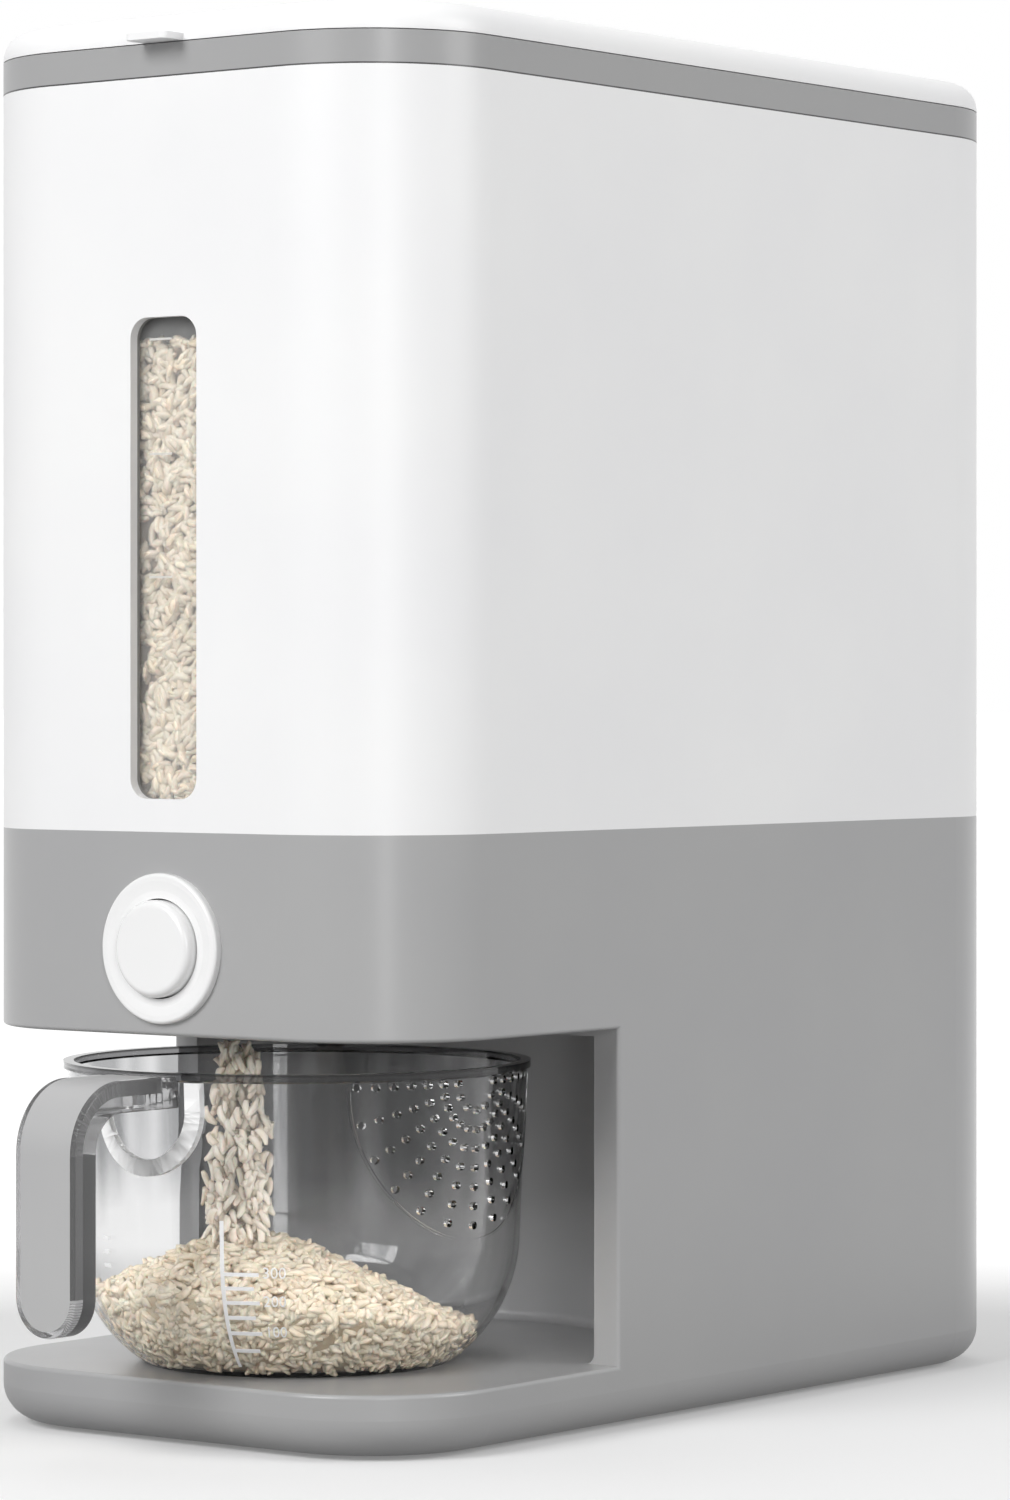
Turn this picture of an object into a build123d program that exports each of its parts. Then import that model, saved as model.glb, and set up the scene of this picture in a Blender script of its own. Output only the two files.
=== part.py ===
from build123d import *
import math
import os

# Rice dispenser: a grain tank on a housing with an open dispensing bay. A push button in the
# head swings a gate under the drop tube, and the grain falls into a clear measuring cup.
# Millimetres. +Z is up, the front is -Y, and the origin is on the floor, under the middle of
# the body's footprint.

# Body
body_width = 170.0
body_depth = 326.0
corner_radius = 42.0
wall = 3.0
foot_proud = 1.0
plinth_height = 18.2
bay_height = 97.9
head_height = 58.0
tank_height = 215.0
band_height = 9.6
lid_height = 8.7
lid_gap = 0.3
base_edge_radius = 11.0
bay_edge_radius = 1.2
fit_gap = 0.3

# Bay
bay_depth = 103.5
bay_side_strip = 9.0
pocket_roof_drop = 2.4
pocket_floor_radius = 3.0
rib_count = 3
rib_thickness = 2.0

# Underside
floor_thickness = 5.5
cover_thickness = 3.0
cover_inset = 14.0
cover_lap = 10.0
foot_radius = 9.0
foot_sink = 1.2
foot_inset_x = 37.0
foot_inset_y = 48.0
cover_screw_radius = 1.5
cover_screw_head = 3.0
cover_screw_inset = 63.0
cover_boss_radius = 3.9
cover_boss_height = 6.0
screw_engagement = 5.0

# Tongue that locates the tank on the housing
tongue_thickness = 1.7
tongue_height = 4.0
tongue_root = 6.0

# Level window
window_width = 24.8
window_height = 137.3
window_radius = 6.0
window_sill = 9.4
gasket_thickness = 1.1
lens_thickness = 2.0
lens_margin = 3.0
lens_gap = 0.2
collar_thickness = 1.4
clip_width = 8.0
clip_thickness = 1.2

# Hopper, drop tube and gate
outlet_setback = 33.0
outlet_size = 22.0
tube_wall = 1.6
rear_slope_angle = 21.0
side_slope_angle = 35.0
front_slope_angle = 40.0
hopper_wall = 2.0
collar_height = 6.0
flange_width = 42.0
flange_thickness = 2.4
flange_rise = 8.0
tube_screw_radius = 1.25
tube_screw_head = 2.4
tube_screw_inset = 5.0
tube_screw_bite = 3.0
pivot_rise = 10.0
gate_radius = 27.5
gate_thickness = 2.0
gate_half_angle = 26.0
gate_tube_gap = 0.5
arm_thickness = 2.0
arm_gap = 0.6
hub_radius = 5.0
pivot_pin_radius = 2.5
pivot_head_radius = 4.0
pivot_head_height = 1.2
running_gap = 0.05
push_pin_radius = 1.5
push_pin_drop = 8.6
push_pin_length = 3.8
chute_hole_width = 30.0
chute_hole_depth = 34.0

# Button
button_rise = 24.9
button_radius = 13.9
button_proud = 5.8
button_wall = 1.9
button_edge_radius = 2.2
button_travel = 6.0
button_gap = 0.4
travel_gap = 0.4
bezel_radius = 21.5
bezel_proud = 2.4
bezel_edge_radius = 1.1
bezel_dish = 0.5
barrel_wall = 2.2
nut_thickness = 4.0
nut_radius = 21.0
stop_gap = 0.3
yoke_thickness = 2.5
yoke_eye_radius = 8.0
prong_height = 10.0
prong_thickness = 2.5
prong_gap = 0.6
prong_tail = 3.1
slot_gap = 0.45
slot_floor = 0.6
spring_wire = 1.0
spring_radius = 6.4
spring_turns = 6
spring_boss_radius = 5.2
spring_boss_height = 2.0

# Lid frame and lid
mouth_inset = 12.0
seal_ledge_inset = 8.0
seal_ledge_depth = 2.0
frame_skirt_depth = 10.0
frame_skirt_thickness = 2.0
lid_wall = 2.5
lid_edge_radius = 8.0
lid_skirt_thickness = 2.0
lid_skirt_depth = 4.0
seal_thickness = 3.0
seal_width = 3.2
seal_seat_height = 2.0
tab_width = 15.0
tab_reach = 8.5
tab_thickness = 2.0
tab_corner = 2.0
hinge_end_gap = 4.0
hinge_offset = 4.5
knuckle_radius = 4.0
knuckle_length = 12.0
knuckle_gap = 0.4
hinge_pin_radius = 1.5

# Measuring cup
cup_setback = 60.0
cup_lift = 0.3
cup_height = 87.9
cup_wall = 1.8
cup_base_radius = 45.0
cup_waist_radius = 65.3
cup_rim_radius = 67.4
bowl_radius = 44.0
cup_floor = 2.2
lip_width = 1.1
lip_height = 2.6
drain_hole_radius = 1.15
drain_arcs = 7
drain_first_radius = 8.0
drain_pitch = 5.5
drain_spoke_angle = 15.0
drain_least_spacing = 3.4
drain_drop = 4.0
drain_line_gap = 4.5
drain_line_width = 0.7
drain_line_proud = 0.3
socket_half_width = 19.0
socket_depth = 27.0
socket_band = 4.5
socket_proud = 2.0

# Handle
handle_width = 22.5
handle_thickness = 9.0
handle_reach = 110.0
handle_drop = 0.9
handle_bend_radius = 20.0
handle_length = 71.0
handle_edge_radius = 0.8
inlay_border = 2.0
inlay_depth = 4.5

# Levels and places worked out from the sizes above
underside_z = foot_proud
bay_floor_z = underside_z + plinth_height
bay_ceiling_z = bay_floor_z + bay_height
seam_z = bay_ceiling_z + head_height
tank_top_z = seam_z + tank_height
band_top_z = tank_top_z + band_height
lid_base_z = band_top_z + lid_gap
lid_top_z = lid_base_z + lid_height
front_y = -body_depth / 2
rear_y = body_depth / 2
pocket_radius = body_width / 2 - bay_side_strip
outlet_y = front_y + outlet_setback
cup_y = front_y + cup_setback
bay_back_y = front_y + bay_depth
pocket_roof_z = bay_ceiling_z - pocket_roof_drop
tongue_top_z = seam_z + tongue_height
tongue_inset = wall + fit_gap
tongue_inner_inset = tongue_inset + tongue_thickness
button_z = bay_ceiling_z + button_rise
pivot_z = button_z + pivot_rise
flange_top_z = pivot_z + flange_rise
hopper_rise = body_depth * math.tan(math.radians(rear_slope_angle))
tube_half = outlet_size / 2 + tube_wall
arm_inner_x = tube_half + arm_gap
arm_outer_x = arm_inner_x + arm_thickness
gate_outer_radius = gate_radius + gate_thickness
prong_inner_x = arm_outer_x + prong_gap
prong_outer_x = prong_inner_x + prong_thickness
button_front_y = front_y - button_proud
bore_radius = button_radius + button_gap
barrel_radius = bore_radius + barrel_wall
tube_front_y = outlet_y - tube_half
sleeve_rear_y = tube_front_y - travel_gap - button_travel - yoke_thickness
barrel_rear_y = sleeve_rear_y - stop_gap
hinge_y = rear_y + hinge_offset
cup_bottom_z = bay_floor_z + cup_lift
cup_rim_z = cup_bottom_z + cup_height
bowl_centre_r = cup_waist_radius - bowl_radius
bowl_centre_z = cup_bottom_z + math.sqrt(bowl_radius**2 - (cup_base_radius - bowl_centre_r)**2)
drain_centre_z = cup_rim_z - drain_drop
handle_top_z = cup_rim_z - handle_drop
handle_outer_y = cup_y - handle_reach
handle_low_z = handle_top_z - handle_length
handle_root_y = cup_y - cup_waist_radius / 2

# Helpers' own lengths: how far a cutter runs past a face, how deep one form is let into
# another, and what counts as the same place
margin = 5.0
overlap = 0.1
tolerance = 1e-3


def outline(inset):
    # Plan of the body, drawn in by an inset
    return RectangleRounded(body_width - 2 * inset, body_depth - 2 * inset, corner_radius - inset)


def prism(inset, low, high):
    return Pos(0, 0, low) * extrude(outline(inset), amount=high - low)


def ring(outer_inset, inner_inset, low, high):
    return prism(outer_inset, low, high) - prism(inner_inset, low - margin, high + margin)


def block(x0, x1, y0, y1, z0, z1):
    centre = Pos((x0 + x1) / 2, (y0 + y1) / 2, (z0 + z1) / 2)
    return centre * Box(x1 - x0, y1 - y0, z1 - z0)


def rod_x(radius, x0, x1, y, z):
    return Pos((x0 + x1) / 2, y, z) * Rot(0, 90, 0) * Cylinder(radius, x1 - x0)


def rod_y(radius, y0, y1, x, z):
    return Pos(x, (y0 + y1) / 2, z) * Rot(90, 0, 0) * Cylinder(radius, y1 - y0)


def rod_z(radius, z0, z1, x, y):
    return Pos(x, y, (z0 + z1) / 2) * Cylinder(radius, z1 - z0)


def side_plate(sketch, x0, x1):
    # Extrude a sketch drawn on the YZ plane from x0 to x1
    return Pos(x0, 0, 0) * extrude(Plane.YZ * sketch, amount=x1 - x0)


def front_plate(sketch, y0, y1):
    # Extrude a sketch drawn in X and Z from y0 back to y1
    return Pos(0, y1, 0) * extrude(Plane.XZ * sketch, amount=y1 - y0)


def turned_y(points_face):
    # Turn a face drawn in radius and Y about the button's axis
    return Pos(0, 0, button_z) * revolve(points_face, axis=Axis.Y)


def edges_at(solid, level):
    # Edges that lie flat at a level
    flat = [e for e in solid.edges() if e.bounding_box().size.Z < tolerance]
    return [e for e in flat if abs(e.center().Z - level) < tolerance]


def window_plate(grow, y0, y1):
    # Rounded plate the size of the window, grown all round
    centre_z = seam_z + window_sill + window_height / 2
    size = RectangleRounded(window_width + 2 * grow, window_height + 2 * grow, window_radius + grow)
    return front_plate(Pos(0, centre_z) * size, y0, y1)


def cover_screw_places():
    x = body_width / 2 - cover_inset - cover_lap / 2
    y = body_depth / 2 - cover_screw_inset
    return [(side * x, row * y) for side in (-1, 1) for row in (-1, 0, 1)]


def foot_places():
    x = body_width / 2 - foot_inset_x
    y = body_depth / 2 - foot_inset_y
    return [(i * x, j * y) for i in (-1, 1) for j in (-1, 1)]


def tube_screw_places():
    d = flange_width / 2 - tube_screw_inset
    return [(i * d, outlet_y + j * d) for i in (-1, 1) for j in (-1, 1)]


def bay_space(grow):
    # The open bay with the round pocket behind it, grown by a wall for the inner skin
    low = bay_floor_z - grow
    bay = block(
        -body_width, body_width, front_y - body_depth, bay_back_y + grow, low, bay_ceiling_z + grow
    )
    high = pocket_roof_z + grow
    pocket = rod_z(pocket_radius + grow, low, high, 0, bay_back_y)
    pocket = fillet(pocket.edges().group_by(Axis.Z)[0], pocket_floor_radius)
    front_half = block(
        -body_width, body_width, bay_back_y - body_depth, bay_back_y, low - margin, high + margin
    )
    return bay + (pocket - front_half)


def base_housing():
    outer = prism(0, underside_z, seam_z)
    outer = fillet(outer.edges().group_by(Axis.Z)[0], base_edge_radius)
    floor_z = underside_z + floor_thickness
    inner = prism(wall, floor_z, seam_z + margin)
    inner = fillet(inner.edges().group_by(Axis.Z)[0], base_edge_radius - wall)
    shell = outer - bay_space(0)
    levels = edges_at(shell, bay_floor_z) + edges_at(shell, bay_ceiling_z)
    rims = [e for e in levels if e.center().Y < bay_back_y - tolerance]
    corners = [
        e
        for e in shell.edges().filter_by(Axis.Z)
        if abs(e.center().Y - bay_back_y) < tolerance and abs(e.center().X) > pocket_radius + tolerance
    ]
    shell = fillet(rims + corners, bay_edge_radius)
    shell -= inner - bay_space(wall)
    # Tongue inside the rim
    shell += ring(wall - overlap, tongue_inner_inset, seam_z - tongue_root, seam_z)
    shell += ring(tongue_inset, tongue_inner_inset, seam_z - margin, tongue_top_z)
    # Ribs under the bay floor
    for i in range(rib_count):
        x = (i - (rib_count - 1) / 2) * body_width / (rib_count + 1)
        shell += block(
            x - rib_thickness / 2,
            x + rib_thickness / 2,
            front_y + corner_radius / 2,
            bay_back_y,
            underside_z + cover_thickness + floor_thickness,
            bay_floor_z - wall / 2,
        )
    # Screw bosses and the opening for the cover
    for x, y in cover_screw_places():
        shell += rod_z(cover_boss_radius, floor_z - overlap, floor_z + cover_boss_height, x, y)
    shell -= prism(cover_inset + cover_lap, underside_z - margin, floor_z)
    shell -= prism(cover_inset, underside_z - margin, underside_z + cover_thickness)
    for x, y in cover_screw_places():
        shell -= rod_z(
            cover_screw_radius,
            underside_z,
            underside_z + cover_thickness + screw_engagement + fit_gap,
            x,
            y,
        )
    # Grain hole in the bay's ceiling and the button's hole in the front
    shell -= block(
        -chute_hole_width / 2,
        chute_hole_width / 2,
        outlet_y - chute_hole_depth / 2,
        outlet_y + chute_hole_depth / 2,
        bay_ceiling_z - margin,
        bay_ceiling_z + wall + margin,
    )
    shell -= rod_y(barrel_radius + fit_gap, front_y - margin, front_y + wall + margin, 0, button_z)
    return shell


def bottom_cover():
    top_z = underside_z + cover_thickness
    plate = prism(cover_inset + fit_gap, underside_z, top_z)
    for x, y in cover_screw_places():
        plate -= rod_z(cover_screw_radius + fit_gap, underside_z, top_z, x, y)
        plate -= rod_z(cover_screw_head + fit_gap, underside_z, underside_z + cover_thickness / 2, x, y)
    for x, y in foot_places():
        plate -= rod_z(foot_radius, underside_z, underside_z + foot_sink, x, y)
    return plate


def cover_screws():
    seat_z = underside_z + cover_thickness / 2
    screws = []
    for x, y in cover_screw_places():
        head = rod_z(cover_screw_head, seat_z - cover_thickness / 3, seat_z, x, y)
        shank = rod_z(
            cover_screw_radius, seat_z, underside_z + cover_thickness + screw_engagement, x, y
        )
        screws.append(head + shank)
    return screws


def rubber_feet():
    feet = []
    for x, y in foot_places():
        foot = rod_z(foot_radius, underside_z - foot_proud, underside_z + foot_sink, x, y)
        feet.append(chamfer(foot.edges().group_by(Axis.Z)[0], foot_proud / 2))
    return feet


def storage_tank():
    tank = ring(0, wall, seam_z, tank_top_z)
    inner_y = front_y + wall
    lens_back_y = inner_y + gasket_thickness + lens_thickness
    collar = window_plate(lens_margin + lens_gap + collar_thickness, inner_y - overlap, lens_back_y)
    collar -= window_plate(lens_margin + lens_gap, inner_y, lens_back_y + margin)
    tank += collar
    # Clips that hold the lens in its collar
    low_z = seam_z + window_sill - lens_margin - lens_gap
    high_z = seam_z + window_sill + window_height + lens_margin + lens_gap
    for z0, z1 in (
        (low_z - collar_thickness, low_z + lens_margin / 2),
        (high_z - lens_margin / 2, high_z + collar_thickness),
    ):
        tank += block(
            -clip_width / 2, clip_width / 2, lens_back_y, lens_back_y + clip_thickness, z0, z1
        )
    return tank - window_plate(0, front_y - margin, inner_y + gasket_thickness)


def window_gasket():
    y0 = front_y + wall
    gasket = window_plate(lens_margin, y0, y0 + gasket_thickness)
    return gasket - window_plate(0, y0 - margin, y0 + margin)


def level_window():
    y0 = front_y + wall + gasket_thickness
    return window_plate(lens_margin, y0, y0 + lens_thickness)


def slope_section(edge_low, edge_high, slope_low, slope_high, sink):
    # Section of the grain space: two slopes that rise from the outlet's two edges, moved
    # down by a wall for the outer skin
    run = body_depth + body_width
    rise = tank_height + body_depth
    low = edge_low - sink / math.sin(math.radians(slope_low))
    high = edge_high + sink / math.sin(math.radians(slope_high))
    z0 = flange_top_z
    return Polygon(
        (low, z0),
        (high, z0),
        (high + run, z0 + run * math.tan(math.radians(slope_high))),
        (high + run, z0 + run + rise),
        (low - run, z0 + run + rise),
        (low - run, z0 + run * math.tan(math.radians(slope_low))),
        align=None,
    )


def grain_space(sink):
    half = outlet_size / 2
    along = slope_section(outlet_y - half, outlet_y + half, front_slope_angle, rear_slope_angle, sink)
    across = slope_section(-half, half, side_slope_angle, side_slope_angle, sink)
    return side_plate(along, -body_width, body_width) & front_plate(across, -body_depth, body_depth)


def hopper_funnel():
    # Four slopes that lead the grain to the outlet
    inside_tongue = prism(tongue_inner_inset + fit_gap, flange_top_z, tongue_top_z)
    inside_tank = prism(tongue_inset, tongue_top_z, tongue_top_z + hopper_rise)
    skin = grain_space(hopper_wall) & (inside_tongue + inside_tank)
    half = flange_width / 2
    skin += block(
        -half, half, outlet_y - half, outlet_y + half, flange_top_z, flange_top_z + collar_height
    )
    funnel = skin - grain_space(0)
    half = outlet_size / 2
    funnel -= block(-half, half, outlet_y - half, outlet_y + half, flange_top_z, pivot_z + tank_height)
    for x, y in tube_screw_places():
        funnel -= rod_z(tube_screw_radius, flange_top_z, flange_top_z + tube_screw_bite, x, y)
    return funnel


def hopper_stand():
    # Wall that stands on the tongue and carries the slopes at the rear and the sides
    wall_ring = ring(tongue_inset, tongue_inner_inset, tongue_top_z, tongue_top_z + hopper_rise)
    return wall_ring - grain_space(hopper_wall)


def outlet_chute():
    half = flange_width / 2
    flange_low_z = flange_top_z - flange_thickness
    flange = block(-half, half, outlet_y - half, outlet_y + half, flange_low_z, flange_top_z)
    tube = block(
        -tube_half, tube_half, outlet_y - tube_half, outlet_y + tube_half,
        pivot_z - gate_radius, flange_top_z,
    )
    swing = rod_x(gate_radius - gate_tube_gap, -tube_half, tube_half, outlet_y, pivot_z)
    above = block(
        -tube_half, tube_half, outlet_y - tube_half, outlet_y + tube_half, pivot_z, flange_top_z
    )
    chute = flange + (tube & (swing + above))
    chute += rod_y(
        spring_boss_radius, tube_front_y - spring_boss_height, tube_front_y + tube_wall / 2, 0, button_z
    )
    half = outlet_size / 2
    chute -= block(
        -half, half, outlet_y - half, outlet_y + half, pivot_z - 2 * gate_radius, flange_top_z
    )
    chute -= rod_x(pivot_pin_radius, -flange_width, flange_width, outlet_y, pivot_z)
    for x, y in tube_screw_places():
        chute -= rod_z(tube_screw_radius + fit_gap / 2, flange_low_z, flange_top_z, x, y)
    return chute


def chute_screws():
    flange_low_z = flange_top_z - flange_thickness
    screws = []
    for x, y in tube_screw_places():
        head = rod_z(tube_screw_head, flange_low_z - tube_screw_radius, flange_low_z, x, y)
        screws.append(head + rod_z(tube_screw_radius, flange_low_z, flange_top_z + tube_screw_bite, x, y))
    return screws


def gate_pivot_pins():
    pins = []
    for side in (-1, 1):
        inner_x = side * outlet_size / 2
        seat_x = side * (arm_outer_x + running_gap)
        end_x = seat_x + side * pivot_head_height
        shank = rod_x(pivot_pin_radius, min(inner_x, seat_x), max(inner_x, seat_x), outlet_y, pivot_z)
        head = rod_x(pivot_head_radius, min(seat_x, end_x), max(seat_x, end_x), outlet_y, pivot_z)
        pins.append(shank + head)
    return pins


def gate_sector(radius):
    # Pie-shaped sector that hangs from the pivot
    reach = 2 * gate_outer_radius
    spread = reach * math.tan(math.radians(gate_half_angle))
    wedge = Polygon(
        (outlet_y, pivot_z),
        (outlet_y - spread, pivot_z - reach),
        (outlet_y + spread, pivot_z - reach),
        align=None,
    )
    return Pos(outlet_y, pivot_z) * Circle(radius) & wedge


def discharge_gate():
    plate = gate_sector(gate_outer_radius) - Pos(outlet_y, pivot_z) * Circle(gate_radius)
    gate = side_plate(plate, -arm_outer_x, arm_outer_x)
    cheek = gate_sector(gate_outer_radius) + Pos(outlet_y, pivot_z) * Circle(hub_radius)
    cheek -= Pos(outlet_y, pivot_z) * Circle(pivot_pin_radius + running_gap)
    pin_z = pivot_z - push_pin_drop
    for side in (-1, 1):
        x0, x1 = sorted((side * arm_inner_x, side * arm_outer_x))
        gate += side_plate(cheek, x0, x1)
        p0, p1 = sorted((side * (arm_outer_x - arm_thickness / 2), side * (arm_outer_x + push_pin_length)))
        gate += rod_x(push_pin_radius, p0, p1, outlet_y, pin_z)
    return gate


def button_bezel():
    face_y = front_y - bezel_proud
    flange = turned_y(make_face(Polyline(
        (bore_radius, face_y + bezel_dish),
        (bore_radius + barrel_wall, face_y + bezel_dish),
        (bezel_radius - 2 * bezel_edge_radius, face_y),
        (bezel_radius, face_y),
        (bezel_radius, front_y),
        (barrel_radius, front_y),
        (barrel_radius, barrel_rear_y),
        (bore_radius, barrel_rear_y),
        close=True,
    )))
    rim = [
        e
        for e in flange.edges().filter_by(GeomType.CIRCLE)
        if abs(e.center().Y - face_y) < tolerance and abs(e.radius - bezel_radius) < tolerance
    ]
    return fillet(rim, bezel_edge_radius)


def bezel_nut():
    y0 = front_y + wall
    nut = front_plate(Pos(0, button_z) * RegularPolygon(nut_radius, 6), y0, y0 + nut_thickness)
    return nut - rod_y(barrel_radius, y0 - margin, y0 + nut_thickness + margin, 0, button_z)


def push_button():
    inner_y = button_front_y + button_wall
    bore = button_radius - button_wall
    cap = turned_y(make_face(Polyline(
        (0, button_front_y),
        (button_radius, button_front_y),
        (button_radius, sleeve_rear_y),
        (bore, sleeve_rear_y),
        (bore, inner_y),
        (spring_boss_radius, inner_y),
        (spring_boss_radius, inner_y + spring_boss_height),
        (0, inner_y + spring_boss_height),
        close=True,
    )))
    rim = [
        e
        for e in cap.edges().filter_by(GeomType.CIRCLE)
        if abs(e.center().Y - button_front_y) < tolerance and abs(e.radius - button_radius) < tolerance
    ]
    return fillet(rim, button_edge_radius)


def button_yoke():
    plate = rod_y(button_radius, sleeve_rear_y, sleeve_rear_y + yoke_thickness, 0, button_z)
    low_z = button_z - prong_height / 2
    high_z = button_z + prong_height / 2
    plate += block(
        -prong_outer_x, prong_outer_x, sleeve_rear_y, sleeve_rear_y + yoke_thickness, low_z, high_z
    )
    plate -= rod_y(yoke_eye_radius, sleeve_rear_y - margin, sleeve_rear_y + margin, 0, button_z)
    slot_half = push_pin_radius + slot_gap
    slot_z = pivot_z - push_pin_drop - push_pin_radius - slot_floor
    for side in (-1, 1):
        x0, x1 = sorted((side * prong_inner_x, side * prong_outer_x))
        prong_end_y = outlet_y + slot_half + prong_tail
        prong = block(x0, x1, sleeve_rear_y, prong_end_y, low_z, high_z)
        prong -= block(x0, x1, outlet_y - slot_half, outlet_y + slot_half, slot_z, high_z)
        plate += prong
    return plate


def return_spring():
    length = tube_front_y - button_front_y - button_wall
    coil_length = length - spring_wire
    path = Helix(coil_length / spring_turns, coil_length, spring_radius)
    section = Plane(path @ 0, z_dir=path % 0) * Circle(spring_wire / 2)
    coil = sweep(section, path=path, is_frenet=True)
    return Pos(0, tube_front_y - spring_wire / 2, button_z) * Rot(90, 0, 0) * coil


def hinge_stations():
    # One hinge near each end of the flat rear face
    x = body_width / 2 - corner_radius - hinge_end_gap - knuckle_length - knuckle_gap
    return [-x, x]


def lid_frame():
    frame = ring(0, mouth_inset, tank_top_z, band_top_z)
    frame -= prism(seal_ledge_inset, band_top_z - seal_ledge_depth, band_top_z + margin)
    skirt_inner = tongue_inset + frame_skirt_thickness
    frame += ring(tongue_inset, skirt_inner, tank_top_z - frame_skirt_depth, tank_top_z)
    frame += ring(tongue_inset, mouth_inset, tank_top_z - lid_wall / 2, tank_top_z + lid_wall)
    # Hinge ears, two at each station, with an arm back to the band
    for station in hinge_stations():
        for side in (-1, 1):
            near = station + side * (knuckle_length / 2 + knuckle_gap)
            x0, x1 = sorted((near, near + side * knuckle_length / 2))
            ear = rod_x(knuckle_radius, x0, x1, hinge_y, lid_base_z)
            ear += block(x0, x1, rear_y - lid_gap, hinge_y, tank_top_z + lid_wall, band_top_z)
            frame += ear - rod_x(hinge_pin_radius, x0, x1, hinge_y, lid_base_z)
    return frame


def hinge_pins():
    reach = knuckle_length + knuckle_gap
    return [
        rod_x(hinge_pin_radius, station - reach, station + reach, hinge_y, lid_base_z)
        for station in hinge_stations()
    ]


def lid_shell():
    shell = prism(0, lid_base_z, lid_top_z)
    shell = fillet(shell.edges().group_by(Axis.Z)[-1], lid_edge_radius)
    inner = prism(lid_wall, lid_base_z - margin, lid_top_z - lid_wall)
    inner = fillet(inner.edges().group_by(Axis.Z)[-1], lid_edge_radius - lid_wall)
    shell -= inner
    skirt_inset = mouth_inset + fit_gap + lid_gap
    skirt_low_z = lid_base_z - lid_skirt_depth
    shell += ring(
        skirt_inset, skirt_inset + lid_skirt_thickness, skirt_low_z, lid_top_z - lid_wall / 2
    )
    seat_z = band_top_z - seal_ledge_depth + fit_gap + seal_thickness
    shell += ring(skirt_inset - seal_width, skirt_inset + overlap, seat_z, seat_z + seal_seat_height)
    # Finger tab
    tab_length = tab_reach + lid_edge_radius
    tab = Pos(0, front_y - tab_reach + tab_length / 2) * RectangleRounded(
        tab_width, tab_length, tab_corner
    )
    tab = Pos(0, 0, lid_base_z) * extrude(tab, amount=tab_thickness)
    shell += tab - prism(lid_wall / 2, lid_base_z - margin, lid_top_z)
    # Hinge knuckles
    for station in hinge_stations():
        x0, x1 = station - knuckle_length / 2, station + knuckle_length / 2
        shell += rod_x(knuckle_radius, x0, x1, hinge_y, lid_base_z) + block(
            x0, x1, rear_y - lid_wall / 2, hinge_y, lid_base_z, lid_base_z + knuckle_radius
        )
        shell -= rod_x(hinge_pin_radius + running_gap, x0, x1, hinge_y, lid_base_z)
    return shell


def lid_seal():
    skirt_inset = mouth_inset + fit_gap + lid_gap
    low_z = band_top_z - seal_ledge_depth + fit_gap
    return ring(skirt_inset - seal_width, skirt_inset, low_z, low_z + seal_thickness)


def bowl_point(radius, angle):
    # Point on the bowl's lower round, at an angle below the horizontal
    a = math.radians(angle)
    return bowl_centre_r + radius * math.cos(a), bowl_centre_z - radius * math.sin(a)


def cup_section(draw_in, floor, lip):
    # Half section of the cup in radius and Z, drawn in by a wall and a floor thickness
    low_z = cup_bottom_z + floor
    radius = bowl_radius - draw_in
    foot_angle = math.degrees(math.asin((bowl_centre_z - low_z) / radius))
    foot = bowl_point(radius, foot_angle)
    waist = bowl_point(radius, 0)
    rim_r = cup_rim_radius - draw_in
    top_z = cup_rim_z if not floor else cup_rim_z + margin
    lines = Line((0, low_z), foot)
    lines += ThreePointArc(foot, bowl_point(radius, foot_angle / 2), waist)
    if lip:
        lip_z = cup_rim_z - lip_height
        lines += Polyline(
            waist, (rim_r, lip_z), (rim_r + lip, lip_z + lip / 2), (rim_r + lip, top_z),
            (0, top_z), (0, low_z),
        )
    else:
        lines += Polyline(waist, (rim_r, top_z), (0, top_z), (0, low_z))
    return make_face(lines)


def cup_body(draw_in, floor, lip=0.0):
    # Turn the section about the cup's axis
    return Pos(0, cup_y, 0) * revolve(Plane.XZ * cup_section(draw_in, floor, lip), axis=Axis.Z)


def drain_holes():
    # Holes on arcs and spokes round a centre just under the rim, on the cup's right
    holes = []
    drill = Rot(0, 90, 0) * Cylinder(drain_hole_radius, 4 * cup_wall)
    for arc in range(drain_arcs):
        radius = drain_first_radius + arc * drain_pitch
        spacing = radius * math.radians(drain_spoke_angle)
        step = drain_spoke_angle * math.ceil(drain_least_spacing / spacing)
        spokes = int(90 / step)
        for spoke in range(-spokes, spokes + 1):
            a = math.radians(spoke * step)
            turn = Rot(0, 0, math.degrees(radius * math.sin(a) / cup_waist_radius))
            z = drain_centre_z - radius * math.cos(a)
            holes.append(Pos(0, cup_y, z) * turn * Pos(cup_waist_radius, 0, 0) * drill)
    return holes


def drain_line():
    # Fine raised line round the field of holes
    reach = drain_first_radius + (drain_arcs - 1) * drain_pitch + drain_line_gap
    half = cup_waist_radius * math.sin(reach / cup_waist_radius)
    inner = Ellipse(half - drain_line_width, reach - drain_line_width)
    line = Pos(cup_y, drain_centre_z) * (Ellipse(half, reach) - inner)
    skin = cup_body(-drain_line_proud, 0) - cup_body(cup_wall / 2, 0)
    below_centre = block(
        0, body_width, cup_y - body_width, cup_y + body_width, cup_bottom_z, drain_centre_z
    )
    return side_plate(line, cup_waist_radius / 2, cup_rim_radius + margin) & skin & below_centre


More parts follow.
